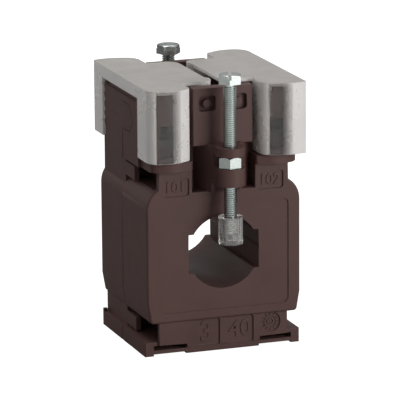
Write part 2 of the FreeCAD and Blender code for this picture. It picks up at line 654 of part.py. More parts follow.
def terminal_places(body):
    """The well between the covers, and the chambers, shafts and entries of the terminals."""
    middles = ("terminal_spread / 2", "-terminal_spread / 2")
    sketch = sketch_on(body, "XY_Plane", "well_floor", "Well")
    front = "-(pillar_depth / 2 - rim_thickness)"
    rectangle(sketch, "-well_width / 2", front, "well_width / 2", "seam_lap + 1")
    grow(body, sketch, "cover_top - well_floor", "Well")
    sketch = sketch_on(body, "XZ_Plane", "chamber_end", "Chambers")
    for middle in middles:
        rectangle(sketch, middle + " - chamber_width / 2", "bar_bottom",
                  middle + " + chamber_width / 2", "chamber_top")
    hollow(body, sketch, "chamber_end + seam_lap + 1", "Chambers")
    sketch = sketch_on(body, "XZ_Plane", "pillar_depth / 2 + 1", "Entries")
    for middle in middles:
        rectangle(sketch, middle + " - entry_width / 2", "entry_bottom",
                  middle + " + entry_width / 2", "chamber_top - 1", "1")
    hollow(body, sketch, "pillar_depth / 2 - chamber_end + 1.2", "Entries")
    sketch = sketch_on(body, "XY_Plane", "chamber_top - 1", "Shafts")
    for middle in middles:
        circle(sketch, middle, "-terminal_reach", "shaft_diameter / 2")
    grow(body, sketch, "cover_top - chamber_top + 1", "Shafts")
    sketch = sketch_on(body, "XY_Plane", "tower_bottom + 0.8", "ScrewEnds")
    for middle in middles:
        circle(sketch, middle, "-terminal_reach", "thread_diameter / 2 + 0.4")
    grow(body, sketch, "bar_bottom - tower_bottom", "ScrewEnds")
    sketch = sketch_on(body, "XY_Plane", "body_top - 2 * shell_wall", "LeadHoles")
    for side in (1, -1):
        circle(sketch, "%d * lead_side" % side, "0", "lead_hole / 2")
    grow(body, sketch, "bar_bottom - body_top + 2 * shell_wall + 0.5", "LeadHoles")


def notch(body):
    """The notch in the left cheek for the other shell's tongue."""
    sketch = sketch_on(body, "YZ_Plane", "-cheek_width / 2 - 1", "Notch")
    outline(sketch, tongue_outline(-1, "tongue_gap"))
    grow(body, sketch, "cheek_width / 2 - tower_width / 2 + 2.2", "Notch")


def seam(body):
    """All that lies beyond the seam, where the left wall reaches over and the right one stops short."""
    sketch = sketch_on(body, "XZ_Plane", "0", "LeftLap")
    outline(sketch, mirrored(lap_outline(1), -1))
    hollow(body, sketch, "seam_lap + 1", "LeftLap")
    sketch = sketch_on(body, "XZ_Plane", "seam_lap", "RightLap")
    outline(sketch, mirrored(lap_outline(-1), -1))
    hollow(body, sketch, "2 * seam_lap + 1", "RightLap")


def locks(body):
    """The arrow-shaped tongue and the two hooks that hold the other shell."""
    sketch = sketch_on(body, "YZ_Plane", "tower_width / 2 - 1.2", "Tongue")
    outline(sketch, tongue_outline(1))
    grow(body, sketch, "cheek_width / 2 - tower_width / 2 + 1.2", "Tongue")
    sketch = sketch_on(body, "YZ_Plane", "neck_width / 2 + closing_proud - hook_thickness", "Hooks")
    for low in ("base_height", "body_top - 1.7"):
        rectangle(sketch, "-seam_lap - 4", low + " + hook_lift", "hook_reach", low + " + hook_lift + hook_height")
    grow(body, sketch, "hook_thickness", "Hooks")


def rear_walls(body):
    """What the rear shell has more than the front one: longer closing walls and a lip on its base."""
    for name, low, high, end in (("Lower", "base_height - 1", "body_bottom + shell_wall", "closing_rear"),
                                 ("Upper", "body_top - top_round / 2", "tower_bottom + 1", "closing_rear + 1")):
        sketch = sketch_on(body, "XZ_Plane", "-(%s)" % end, name + "Wall")
        rectangle(sketch, "-neck_width / 2 - closing_proud", low, "-neck_width / 2 + 1", high)
        grow(body, sketch, "%s - closing_front + 2" % end, name + "Wall")
    sketch = sketch_on(body, "XZ_Plane", "-base_depth / 2", "Lip")
    rectangle(sketch, "-base_width / 2", "base_height - 1", "-base_width / 2 + 1.4", "base_height + 1")
    grow(body, sketch, "1.6", "Lip")


def combine(kind, base, tool, name):
    """Cut or fuse two shapes and check that the volume changes the right way."""
    result = doc.addObject("Part::" + kind, name)
    result.Base = base
    result.Tool = tool
    result.Refine = True
    doc.recompute()
    grown = result.Shape.Volume > base.Shape.Volume
    if result.Shape.isNull() or grown != (kind == "Fuse"):
        raise ValueError("%s has no effect" % name)
    return result


def work_body(name):
    """A body that is only a step towards a node."""
    return doc.addObject("PartDesign::Body", name)


def shell(label):
    """One housing shell: half of the base, the core housing and the terminal tower."""
    form = work_body("ShellForm")
    core_housing(form)
    necks_and_base(form)
    terminal_tower(form)
    cheeks(form)
    clamp_bracket(form)
    spaces = work_body("ShellSpaces")
    inside(spaces)
    front_details(spaces)
    openings(spaces)
    terminal_places(spaces)
    notch(spaces)
    beyond = work_body("BeyondSeam")
    seam(beyond)
    catches = work_body("ShellLocks")
    locks(catches)
    hollowed = combine("Cut", form, spaces, "HollowedShell")
    trimmed = combine("Cut", hollowed, beyond, "TrimmedShell")
    result = combine("Fuse", trimmed, catches, "FrontShell")
    result.Label = label
    nodes.append(result)
    return result


def ring(label, inner, outer, length, wall=None):
    """A ring round the window's axis, hollow inside where a wall is given."""
    body = new_body(label)
    sketch = sketch_on(body, "YZ_Plane", "0", "Ring")
    half = "(%s) / 2" % length
    low = "window_height + (%s)" % inner
    high = "window_height + (%s)" % outer
    rectangle(sketch, "-" + half, low, half, high)
    if wall:
        side = "%s - (%s)" % (half, wall)
        rectangle(sketch, "-(%s)" % side, low + " + (%s)" % wall, side, high + " - (%s)" % wall)
    level = number("window_height")
    reach = number("shell_wall")
    ends = (FreeCAD.Vector(-reach, level, 0), FreeCAD.Vector(reach, level, 0))
    axis = sketch.addGeometry(Part.LineSegment(*ends), True)
    place(sketch, axis, 1, "-shell_wall", "window_height")
    place(sketch, axis, 2, "shell_wall", "window_height")
    feature = body.newObject("PartDesign::Revolution", "Ring")
    feature.Profile = (sketch, [""])
    feature.ReferenceAxis = (sketch, ["Axis0"])
    feature.Angle = 360
    doc.recompute()
    return body


def ring_pieces():
    """The core, its caps, the winding and the tape, from the inside outwards."""
    fit = "inner_fit"
    layers = [("winding_tape", "0", "tape_thickness"),
              ("secondary_winding", "tape_thickness", "winding_build"),
              ("core_insulation", "tape_thickness + winding_build + " + fit, "cap_wall"),
              ("core_ring", "tape_thickness + winding_build + cap_wall + 2 * " + fit, None)]
    for label, inset, wall in reversed(layers):
        ring(label, "winding_inner + " + inset, "winding_outer - (%s)" % inset,
             "winding_length - 2 * (%s)" % inset, wall)


def leads():
    """The two leads from the winding up to the terminal bars."""
    for side, name in ((1, "right"), (-1, "left")):
        body = new_body("secondary_lead_" + name)
        start = "window_height + sqrt(winding_outer ^ 2 - (lead_side - 2) ^ 2) + lead_diameter * 0.62"
        path = sketch_on(body, "XZ_Plane", "0", "Path")
        outline(path, mirrored([
            ("lead_side - 2", start),
            ("lead_side - 2", "lead_first_bend", "lead_bend"),
            ("lead_side", "lead_second_bend", "lead_bend"),
            ("lead_side", "bar_bottom"),
        ], side), closed=False)
        profile = sketch_on(body, "XY_Plane", start, "Profile")
        circle(profile, "%d * (lead_side - 2)" % side, "0", "lead_diameter / 2")
        feature = body.newObject("PartDesign::AdditivePipe", "Lead")
        feature.Profile = (profile, [""])
        feature.Spine = (path, ["Edge1", "Edge2", "Edge3", "Edge4", "Edge5"])
        doc.recompute()


def regular(sides, across_flats, turn):
    """Corners of a regular outline, given across its flats."""
    corners = []
    for index in range(sides):
        angle = "(%s) + %g" % (turn, 360.0 / sides * index)
        reach = "(%s) / 2 / cos(%g)" % (across_flats, 180.0 / sides)
        corners.append(("%s * cos(%s)" % (reach, angle), "%s * sin(%s)" % (reach, angle)))
    return corners


def turned_slot(sketch, width, reach, angle):
    """A long rectangle through the middle, turned by an angle."""
    corners = []
    for along, across in ((-1, -1), (1, -1), (1, 1), (-1, 1)):
        x = "%d * %s * cos(%s) - %d * (%s) / 2 * sin(%s)" % (along, reach, angle, across, width, angle)
        y = "%d * %s * sin(%s) + %d * (%s) / 2 * cos(%s)" % (along, reach, angle, across, width, angle)
        corners.append((x, y))
    outline(sketch, corners)


def bevel_hexagon(body, top, name):
    """Turn the corners of a hexagon off at its top with a cone."""
    sketch = sketch_on(body, "XZ_Plane", "0", name)
    reach = "hexagon_flats / 2"
    outline(sketch, [
        (reach + " * 0.96", top + " + 0.01"),
        (reach + " * 1.3", top + " + 0.01"),
        (reach + " * 1.3", top + " - hexagon_chamfer * 2"),
    ])
    feature = body.newObject("PartDesign::Groove", name)
    feature.Profile = (sketch, [""])
    feature.ReferenceAxis = (sketch, ["V_Axis"])
    feature.Angle = 360
    doc.recompute()


def clamp_parts():
    """The screw, nut and insulating tip of one clamp, and the same three at the rear."""
    screw = new_body("clamp_screw_front")
    sketch = sketch_on(screw, "XY_Plane", "0", "Head")
    outline(sketch, regular(6, "hexagon_flats", "hexagon_turn"))
    grow(screw, sketch, "screw_head_height", "Head")
    bevel_hexagon(screw, "screw_head_height", "HeadBevel")
    sketch = sketch_on(screw, "XY_Plane", "-screw_length", "Shank")
    circle(sketch, "0", "0", "thread_diameter / 2")
    grow(screw, sketch, "screw_length", "Shank")
    sketch = sketch_on(screw, "XY_Plane", "screw_head_height - driver_slot_depth", "Slot")
    turned_slot(sketch, "driver_slot_width", "hexagon_flats", "(hexagon_turn + 60)")
    cut(screw, sketch, "driver_slot_depth + 1", "Slot", reverse=True)
    put(screw, y="-clamp_reach", z="screw_head_base")
    turned_copy(screw, "clamp_screw_rear", "rear_screw_drop", 100)

    nut = new_body("clamp_nut_front")
    sketch = sketch_on(nut, "XY_Plane", "0", "Nut")
    outline(sketch, regular(6, "hexagon_flats", "hexagon_turn"))
    grow(nut, sketch, "nut_height", "Nut")
    bevel_hexagon(nut, "nut_height", "NutBevel")
    sketch = sketch_on(nut, "XY_Plane", "-1", "Bore")
    circle(sketch, "0", "0", "thread_diameter / 2 + thread_fit")
    cut(nut, sketch, "nut_height + 2", "Bore", reverse=True)
    put(nut, y="-clamp_reach", z="nut_gap_bottom + 0.2")
    turned_copy(nut, "clamp_nut_rear")

    tip = new_body("clamp_tip_front")
    sketch = sketch_on(tip, "XY_Plane", "0", "Tip")
    outline(sketch, regular(8, "tip_flats", "tip_turn"))
    grow(tip, sketch, "tip_height", "Tip")
    sketch = sketch_on(tip, "XY_Plane", "tip_floor", "Hollow")
    circle(sketch, "0", "0", "tip_hollow / 2")
    cut(tip, sketch, "tip_height", "Hollow", reverse=True)
    sketch = sketch_on(tip, "XY_Plane", "tip_below_screw - 0.1", "Bore")
    circle(sketch, "0", "0", "thread_diameter / 2 + thread_fit")
    cut(tip, sketch, "tip_height", "Bore", reverse=True)
    put(tip, y="-clamp_reach", z="screw_head_base - screw_length - tip_below_screw")
    turned_copy(tip, "clamp_tip_rear", "rear_screw_drop")


def shifted_copy(source, label, x="0", y="0"):
    """The same piece again, moved along the frame's axes."""
    copy = doc.addObject("Part::Compound", "".join(word.title() for word in label.split("_")))
    copy.Label = label
    copy.Links = [source]
    put(copy, x=x, y=y)
    nodes.append(copy)
    return copy


def terminal_parts():
    """Terminal bars, and a screw and a wire clamp plate at each end of both."""
    bar = new_body("terminal_bar_left")
    sketch = sketch_on(bar, "XY_Plane", "0", "Bar")
    half = "(chamber_width / 2 - bar_side_gap)"
    rectangle(sketch, "-" + half, "-chamber_end + bar_side_gap", half, "chamber_end - bar_side_gap")
    grow(bar, sketch, "bar_height", "Bar")
    sketch = sketch_on(bar, "XY_Plane", "-1", "Holes")
    circle(sketch, "0", "terminal_reach", "thread_diameter / 2 + thread_fit")
    circle(sketch, "0", "-terminal_reach", "thread_diameter / 2 + thread_fit")
    cut(bar, sketch, "bar_height + 2", "Holes", reverse=True)
    put(bar, x="-terminal_spread / 2", z="bar_bottom")
    shifted_copy(bar, "terminal_bar_right", x="terminal_spread")

    plate = new_body("wire_clamp_front_left")
    sketch = sketch_on(plate, "XY_Plane", "0", "Plate")
    half = "plate_size / 2"
    rectangle(sketch, "-" + half, "-" + half, half, half, "0.8")
    grow(plate, sketch, "plate_height", "Plate")
    sketch = sketch_on(plate, "XY_Plane", "-1", "Hole")
    circle(sketch, "0", "0", "thread_diameter / 2 + thread_fit")
    cut(plate, sketch, "plate_height + 2", "Hole", reverse=True)
    put(plate, x="-terminal_spread / 2", y="-terminal_reach", z="bar_bottom + bar_height")

    screw = new_body("terminal_screw_front_left")
    sketch = sketch_on(screw, "XY_Plane", "0", "Head")
    circle(sketch, "0", "0", "pan_head_diameter / 2")
    grow(screw, sketch, "pan_head_height", "Head")
    top = number("pan_head_height")
    round_edges(screw, lambda edge: abs(edge.BoundBox.ZMin - top) < 1e-4, "pan_head_round", "HeadEdge")
    sketch = sketch_on(screw, "XY_Plane", "-terminal_screw_length", "Shank")
    circle(sketch, "0", "0", "thread_diameter / 2")
    grow(screw, sketch, "terminal_screw_length", "Shank")
    sketch = sketch_on(screw, "XY_Plane", "pan_head_height - driver_slot_depth", "Slot")
    rectangle(sketch, "-pan_head_diameter", "-driver_slot_width / 2", "pan_head_diameter", "driver_slot_width / 2")
    cut(screw, sketch, "driver_slot_depth + 1", "Slot", reverse=True)
    put(screw, x="-terminal_spread / 2", y="-terminal_reach", z="bar_bottom + bar_height + plate_height")

    for source, name in ((plate, "wire_clamp_"), (screw, "terminal_screw_")):
        shifted_copy(source, name + "front_right", x="terminal_spread")
        shifted_copy(source, name + "rear_left", y="2 * terminal_reach")
        shifted_copy(source, name + "rear_right", x="terminal_spread", y="2 * terminal_reach")


def leg_outline(rounded, inset):
    """Plan of one leg of the left cover, set in by an inset measured in walls."""
    outer = "-cover_half + %g * cover_wall" % inset
    inner = "-cover_inner_side - %g * cover_wall" % inset
    if rounded:
        back = "-15" if inset else "-cover_leg_start"
        inner_back = "-15" if inset else "-(tower_depth / 2 + 0.2)"
        return [
            (outer, back),
            (outer, "-cover_shoulder + %g * cover_wall" % (0.79 * inset), "cover_outer_round - %g * cover_wall" % inset),
            ("-cover_crown_side - %g * cover_wall" % (0.14 * inset),
             "-cover_front + %g * cover_wall" % (1.07 * inset), "cover_crown_round - %g * cover_wall" % inset),
            (inner, "-cover_inner_corner + %g * cover_wall" % (0.58 * inset),
             "cover_inner_round - %g * cover_wall" % inset),
            (inner, inner_back),
        ]
    back = "15" if inset else "square_leg_start"
    inner_back = "15" if inset else "tower_depth / 2 + 0.2"
    return [
        (inner, inner_back),
        (inner, "cover_inner_corner + 1.9 - %g * cover_wall" % (0.74 * inset), "5.5 - %g * cover_wall" % inset),
        ("-cover_crown_side - 2.6 + %g * cover_wall" % (0.05 * inset),
         "cover_front + 0.5 - %g * cover_wall" % (1.03 * inset), "cover_crown_round + 2 - %g * cover_wall" % inset),
        (outer, "cover_square_corner - %g * cover_wall" % (0.83 * inset), "cover_small_round"),
        (outer, back),
    ]


def covers():
    """The left cover, and the same moulding turned by half a turn on the right."""
    body = new_body("cover_left")
    for name, rounded in (("FrontLeg", True), ("RearLeg", False)):
        corners = leg_outline(rounded, 0)
        side = "-cover_half + cover_wall"
        wall = "-cover_inner_side - cover_wall"
        first, last = corners[0], corners[-1]
        if rounded:
            corners += [(wall, last[1]), (side, first[1])]
        else:
            corners += [(side, last[1]), (wall, first[1])]
        sketch = sketch_on(body, "XY_Plane", "cover_bottom", name)
        outline(sketch, corners)
        grow(body, sketch, "cover_top - cover_bottom", name)
    sketch = sketch_on(body, "XY_Plane", "cover_top - cover_wall", "Top")
    outline(sketch, [
        ("-cover_half", "-cover_leg_start - 1"),
        ("-cover_inner_side - 1", "-cover_top_depth / 2 - 1"),
        ("-cover_inner_side - 1", "-cover_top_depth / 2"),
        ("-cover_split / 2", "-cover_top_depth / 2", "cover_top_corner / 2"),
        ("-cover_split / 2", "cover_top_depth / 2", "cover_top_corner"),
        ("-cover_inner_side - 1", "cover_top_depth / 2"),
        ("-cover_inner_side - 1", "cover_top_depth / 2 + 1"),
        ("-cover_half", "square_leg_start + 1"),
    ])
    grow(body, sketch, "cover_wall", "Top")
    sketch = sketch_on(body, "XZ_Plane", "-square_leg_start", "Fascia")
    rectangle(sketch, "-cover_half", "cheek_top + 0.2", "-cover_half + cover_wall", "cover_top")
    grow(body, sketch, "cover_leg_start + square_leg_start", "Fascia")
    for name, rounded in (("FrontHollow", True), ("RearHollow", False)):
        sketch = sketch_on(body, "XY_Plane", "cover_bottom - 1", name)
        outline(sketch, leg_outline(rounded, 1))
        cut(body, sketch, "cover_top - cover_wall - cover_bottom + 1", name, reverse=True)
    sketch = sketch_on(body, "XY_Plane", "boss_bottom", "Boss")
    circle(sketch, "-boss_side", "-boss_reach", "boss_radius")
    grow(body, sketch, "cover_top - boss_bottom", "Boss")
    turned_copy(body, "cover_right")


def export():
    """Check every object and write one file for each node."""
    doc.recompute()
    for item in doc.Objects:
        if "Invalid" in item.State or "Error" in item.State:
            raise ValueError("%s is in a bad state" % item.Label)
    os.makedirs("parts", exist_ok=True)
    for node in nodes:
        if node.Shape.isNull() or not node.Shape.isValid():
            raise ValueError("%s has no valid shape" % node.Label)
        if len(node.Shape.Solids) != 1:
            raise ValueError("%s is made of %d solids" % (node.Label, len(node.Shape.Solids)))
        node.Shape.exportStep("parts/%s.step" % node.Label)


def main():
    """Build every node and export it."""
    front = shell("front_shell")
    rear = turned_copy(front, "plain_rear_shell")
    nodes.remove(rear)
    walls = work_body("RearWalls")
    rear_walls(walls)
    whole = combine("Fuse", rear, walls, "RearShell")
    whole.Label = "rear_shell"
    nodes.append(whole)
    ring_pieces()
    leads()
    terminal_parts()
    clamp_parts()
    covers()
    export()


main()
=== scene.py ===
"""Looks for a window-type current transformer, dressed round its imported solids."""
import logging
import math
from dataclasses import dataclass
from enum import Enum, IntEnum
from typing import Callable, Optional

import bmesh
import bpy
from mathutils import Matrix, Vector


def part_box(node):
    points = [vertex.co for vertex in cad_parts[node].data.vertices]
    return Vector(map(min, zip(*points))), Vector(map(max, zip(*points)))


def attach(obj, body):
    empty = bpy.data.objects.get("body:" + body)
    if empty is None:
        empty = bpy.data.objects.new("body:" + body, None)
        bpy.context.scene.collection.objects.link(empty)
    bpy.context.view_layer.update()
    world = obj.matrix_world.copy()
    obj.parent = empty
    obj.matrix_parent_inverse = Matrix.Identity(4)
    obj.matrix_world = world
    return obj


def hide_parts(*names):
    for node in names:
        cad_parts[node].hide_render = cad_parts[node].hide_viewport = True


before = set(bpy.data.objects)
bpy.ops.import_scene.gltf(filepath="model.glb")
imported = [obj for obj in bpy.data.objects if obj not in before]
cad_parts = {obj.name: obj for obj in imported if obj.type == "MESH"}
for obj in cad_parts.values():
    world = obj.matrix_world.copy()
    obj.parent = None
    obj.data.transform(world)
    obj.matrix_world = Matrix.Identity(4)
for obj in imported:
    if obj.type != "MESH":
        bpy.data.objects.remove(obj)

LOG = logging.getLogger("transformer")
MM = 0.001
MERGE_REACH = 1e-6
CUT_REACH = 1e-7
FLAT_ANGLE = 0.4
SHARP_ANGLE = 32.0
SMOOTH_ANGLE = 38.0
WHITE = (1, 1, 1, 1)
Colour = tuple[float, float, float, float]
EdgeTest = Callable[[bmesh.types.BMEdge], bool]


def screen(red: int, green: int, blue: int) -> Colour:
    """Turn a colour as a screen shows it into the linear one that a shader takes.

    Args:
        red: Red from 0 to 255.
        green: Green from 0 to 255.
        blue: Blue from 0 to 255.

    Returns:
        The linear colour with full alpha.
    """
    parts = []
    for value in (red, green, blue):
        share = value / 255.0
        parts.append(share / 12.92 if share <= 0.04045 else ((share + 0.055) / 1.055) ** 2.4)
    return (parts[0], parts[1], parts[2], 1.0)


class Body(Enum):
    """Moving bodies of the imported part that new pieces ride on."""

    HOUSING = "housing"
    LEFT_COVER = "left_cover"
    RIGHT_COVER = "right_cover"
    FRONT_SCREW = "front_clamp_screw"
    REAR_SCREW = "rear_clamp_screw"
    FRONT_TIP = "front_clamp_tip"
    REAR_TIP = "rear_clamp_tip"


class Slot(Enum):
    """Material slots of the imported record."""

    HOUSING = "housing"
    COVER = "cover"
    STEEL = "steel"
    TIP = "tip"
    CORE = "core"
    COPPER = "copper"
    INSULATION = "insulation"
    TAPE = "tape"
    LEAD = "lead"
    BAR = "bar"


class MixInput(IntEnum):
    """Inputs of a Mix node, where several kinds of value share one name."""

    FACTOR = 0
    FIRST_NUMBER = 2
    SECOND_NUMBER = 3
    FIRST_COLOUR = 6
    SECOND_COLOUR = 7


class MixResult(IntEnum):
    """Outputs of a Mix node, one for each kind of value."""

    NUMBER = 0
    COLOUR = 2


class CoverFace(IntEnum):
    """Materials of a cover by their number, the less clear ones, a painted sheen, from faint to
    strongest.
    """

    CLEAR = 0
    FROSTED = 1
    FAINTEST = 2
    STRONGEST_SHEEN = 5


def add_node(tree: bpy.types.NodeTree, kind: str,
             values: Optional[dict[str, object]] = None) -> bpy.types.Node:
    """Add a node and set its plain inputs.

    Args:
        tree: The tree that takes it.
        kind: Its type.
        values: Input name to value.

    Returns:
        The new node.
    """
    node = tree.nodes.new(kind)
    for socket, value in (values or {}).items():
        node.inputs[socket].default_value = value
    return node


def add_math(tree: bpy.types.NodeTree, operation: str,
             second: Optional[float] = None) -> bpy.types.Node:
    """Add a Math node.

    Args:
        tree: The tree that takes it.
        operation: What it works out.
        second: Its second value, where that is a plain number.

    Returns:
        The new node.
    """
    node = tree.nodes.new("ShaderNodeMath")
    node.operation = operation
    if second is not None:
        node.inputs[1].default_value = second
    return node


def add_mix(tree: bpy.types.NodeTree, kind: str) -> bpy.types.Node:
    """Add a Mix node for one kind of value."""
    node = tree.nodes.new("ShaderNodeMix")
    node.data_type = kind
    return node


class Groups:
    """Shader node groups that more than one finish uses."""

    def __init__(self) -> None:
        """Build each group once."""
        self.grain = self._grain()
        self.drift = self._drift()

    @staticmethod
    def _start(name: str, inputs: dict[str, tuple[str, object]],
               outputs: dict[str, str]) -> bpy.types.NodeTree:
        """Make an empty group with named sockets.

        Args:
            name: Name of the group.
            inputs: Socket name to its kind and default.
            outputs: Socket name to its kind.

        Returns:
            The new group.
        """
        tree = bpy.data.node_groups.new(name, "ShaderNodeTree")
        for label, (kind, default) in inputs.items():
            socket = tree.interface.new_socket(label, in_out="INPUT", socket_type=kind)
            socket.default_value = default
        for label, kind in outputs.items():
            tree.interface.new_socket(label, in_out="OUTPUT", socket_type=kind)
        return tree

    def _grain(self) -> bpy.types.NodeTree:
        """Height of a fine moulded grain, with a coarser unevenness under it.

        Returns:
            The group, with Fine, Coarse and Share as inputs and Height as output.
        """
        tree = self._start(
            "SurfaceGrain",
            {
                "Fine": ("NodeSocketFloat", 2500.0),
                "Coarse": ("NodeSocketFloat", 120.0),
                "Share": ("NodeSocketFloat", 0.3),
            },
            {"Height": "NodeSocketFloat"},
        )
        links = tree.links
        source = add_node(tree, "NodeGroupInput")
        target = add_node(tree, "NodeGroupOutput")
        place = add_node(tree, "ShaderNodeTexCoord")
        fine = add_node(tree, "ShaderNodeTexNoise", {"Detail": 3.0})
        coarse = add_node(tree, "ShaderNodeTexNoise", {"Detail": 2.0})
        mix = add_mix(tree, "FLOAT")
        links.new(place.outputs["Object"], fine.inputs["Vector"])
        links.new(place.outputs["Object"], coarse.inputs["Vector"])
        links.new(source.outputs["Fine"], fine.inputs["Scale"])
        links.new(source.outputs["Coarse"], coarse.inputs["Scale"])
        links.new(source.outputs["Share"], mix.inputs[MixInput.FACTOR])
        links.new(fine.outputs["Fac"], mix.inputs[MixInput.FIRST_NUMBER])
        links.new(coarse.outputs["Fac"], mix.inputs[MixInput.SECOND_NUMBER])
        links.new(mix.outputs[MixResult.NUMBER], target.inputs["Height"])
        return tree

    def _drift(self) -> bpy.types.NodeTree:
        """Slow drift of colour and roughness over a surface.

        Returns:
            The group, with two colours, two roughness values and a scale as inputs.
        """
        tree = self._start(
            "SurfaceDrift",
            {
                "Base": ("NodeSocketColor", (0.1, 0.1, 0.1, 1.0)),
                "Second": ("NodeSocketColor", (0.2, 0.2, 0.2, 1.0)),
                "Smooth": ("NodeSocketFloat", 0.4),
                "Dull": ("NodeSocketFloat", 0.6),
                "Scale": ("NodeSocketFloat", 60.0),
            },
            {"Colour": "NodeSocketColor", "Roughness": "NodeSocketFloat"},
        )
        links = tree.links
        source = add_node(tree, "NodeGroupInput")
        target = add_node(tree, "NodeGroupOutput")
        place = add_node(tree, "ShaderNodeTexCoord")
        cloud = add_node(tree, "ShaderNodeTexNoise", {"Detail": 5.0, "Roughness": 0.6})
        spread = add_node(tree, "ShaderNodeMapRange", {"From Min": 0.3, "From Max": 0.7})
        tint = add_mix(tree, "RGBA")
        rough = add_mix(tree, "FLOAT")
        links.new(place.outputs["Object"], cloud.inputs["Vector"])
        links.new(source.outputs["Scale"], cloud.inputs["Scale"])
        links.new(cloud.outputs["Fac"], spread.inputs["Value"])
        links.new(spread.outputs["Result"], tint.inputs[MixInput.FACTOR])
        links.new(spread.outputs["Result"], rough.inputs[MixInput.FACTOR])
        links.new(source.outputs["Base"], tint.inputs[MixInput.FIRST_COLOUR])
        links.new(source.outputs["Second"], tint.inputs[MixInput.SECOND_COLOUR])
        links.new(source.outputs["Smooth"], rough.inputs[MixInput.FIRST_NUMBER])
        links.new(source.outputs["Dull"], rough.inputs[MixInput.SECOND_NUMBER])
        links.new(tint.outputs[MixResult.COLOUR], target.inputs["Colour"])
        links.new(rough.outputs[MixResult.NUMBER], target.inputs["Roughness"])
        return tree


@dataclass(frozen=True)
class Finish:
    """One finish: colours, roughness and relief of a surface."""

    name: str
    base: Colour
    second: Colour
    smooth: float
    dull: float
    drift_scale: float = 60.0
    metallic: float = 0.0
    transmission: float = 0.0
    ior: float = 1.5
    specular: float = 0.5
    grain_fine: float = 2500.0
    grain_coarse: float = 150.0
    grain_share: float = 0.3
    grain_depth: float = 0.02 * MM
    grain_strength: float = 0.25

    def build(self, groups: Groups) -> bpy.types.Material:
        """Make the material.

        Args:
            groups: The shared shader groups.

        Returns:
            The finished material.
        """
        material = bpy.data.materials.new(self.name)
        material.use_nodes = True
        tree = material.node_tree
        shader = tree.nodes["Principled BSDF"]
        drift = tree.nodes.new("ShaderNodeGroup")
        drift.node_tree = groups.drift
        drift.inputs["Base"].default_value = self.base
        drift.inputs["Second"].default_value = self.second
        drift.inputs["Smooth"].default_value = self.smooth
        drift.inputs["Dull"].default_value = self.dull
        drift.inputs["Scale"].default_value = self.drift_scale
        grain = tree.nodes.new("ShaderNodeGroup")
        grain.node_tree = groups.grain
        grain.inputs["Fine"].default_value = self.grain_fine
        grain.inputs["Coarse"].default_value = self.grain_coarse
        grain.inputs["Share"].default_value = self.grain_share
        bump = add_node(tree, "ShaderNodeBump",
                        {"Strength": self.grain_strength, "Distance": self.grain_depth})
        tree.links.new(drift.outputs["Colour"], shader.inputs["Base Color"])
        tree.links.new(drift.outputs["Roughness"], shader.inputs["Roughness"])
        tree.links.new(grain.outputs["Height"], bump.inputs["Height"])
        tree.links.new(bump.outputs["Normal"], shader.inputs["Normal"])
        shader.inputs["Metallic"].default_value = self.metallic
        shader.inputs["Transmission Weight"].default_value = self.transmission
        shader.inputs["IOR"].default_value = self.ior
        shader.inputs["Specular IOR Level"].default_value = self.specular
        return material


FINISHES: dict[Slot, Finish] = {
    Slot.HOUSING: Finish(
        "brown_moulding", screen(79, 58, 55), screen(87, 64, 60), 0.4, 0.54,
        specular=0.2, grain_depth=0.03 * MM, grain_strength=0.35,
    ),
    Slot.COVER: Finish(
        "clear_cover", screen(240, 236, 233), screen(230, 226, 222), 0.14, 0.22,
        transmission=1.0, ior=1.42, grain_fine=1800.0, grain_strength=0.04,
    ),
    Slot.STEEL: Finish(
        "zinc_plating", screen(200, 206, 203), screen(182, 189, 186), 0.18, 0.28,
        drift_scale=300.0, metallic=1.0, grain_fine=4000.0, grain_coarse=600.0,
        grain_strength=0.08, grain_depth=0.01 * MM,
    ),
    Slot.TIP: Finish(
        "clear_moulding", screen(252, 250, 247), screen(246, 244, 241), 0.04, 0.07,
        transmission=0.9, ior=1.49, grain_strength=0.01, grain_depth=0.01 * MM,
    ),
    Slot.CORE: Finish(
        "core_strip", screen(112, 114, 120), screen(84, 86, 92), 0.3, 0.45, metallic=1.0,
    ),
    Slot.COPPER: Finish(
        "enamelled_wire", screen(176, 98, 52), screen(150, 78, 40), 0.25, 0.4, metallic=1.0,
    ),
    Slot.INSULATION: Finish(
        "pale_board", screen(222, 216, 198), screen(208, 202, 182), 0.6, 0.75,
    ),
    Slot.TAPE: Finish(
        "winding_tape", screen(208, 172, 60), screen(192, 156, 50), 0.3, 0.45,
    ),
    Slot.LEAD: Finish(
        "lead_sleeve", screen(168, 34, 28), screen(150, 28, 24), 0.4, 0.5,
    ),
    Slot.BAR: Finish(
        "bar_plating", screen(96, 90, 84), screen(78, 72, 67), 0.3, 0.42, metallic=1.0,
    ),
}
# Dark colour of the screw point: painted shade for the shadowed bore inside the clear tip.
PAINTED_SHADE_STEEL = Finish(
    "painted_shade_steel", screen(46, 46, 46), screen(38, 38, 38), 0.45, 0.6, metallic=1.0,
)
DULL_ZINC = Finish(
    "dull_zinc", screen(112, 106, 100), screen(90, 84, 79), 0.4, 0.55,
    drift_scale=300.0, metallic=1.0,
)
# Less clear cover walls: a painted sheen standing in for the reflections on the rounded legs,
# from faint to strong.
PAINTED_SHEEN_WALLS = tuple(
    Finish(
        "painted_sheen_wall_" + name, screen(250, 247, 245), screen(242, 239, 236), 0.24, 0.34,
        drift_scale=90.0, transmission=clear, ior=1.42, grain_strength=0.0,
    )
    for name, clear in (("faint", 0.92), ("thin", 0.8), ("middle", 0.62), ("thick", 0.3))
)
FROST = Finish(
    "frosted_top", screen(202, 198, 194), screen(192, 187, 182), 0.34, 0.46,
    drift_scale=90.0, transmission=0.42, ior=1.42, grain_fine=1600.0, grain_coarse=220.0,
    grain_strength=0.25, grain_depth=0.03 * MM,
)


def whole(bm: bmesh.types.BMesh) -> list:
    """List every point, edge and face of a mesh."""
    return list(bm.verts) + list(bm.edges) + list(bm.faces)


def faces_between(edge: bmesh.types.BMEdge) -> float:
    """Angle between the two faces at an edge, or none at an open edge."""
    return edge.calc_face_angle(0.0) if len(edge.link_faces) == 2 else 0.0


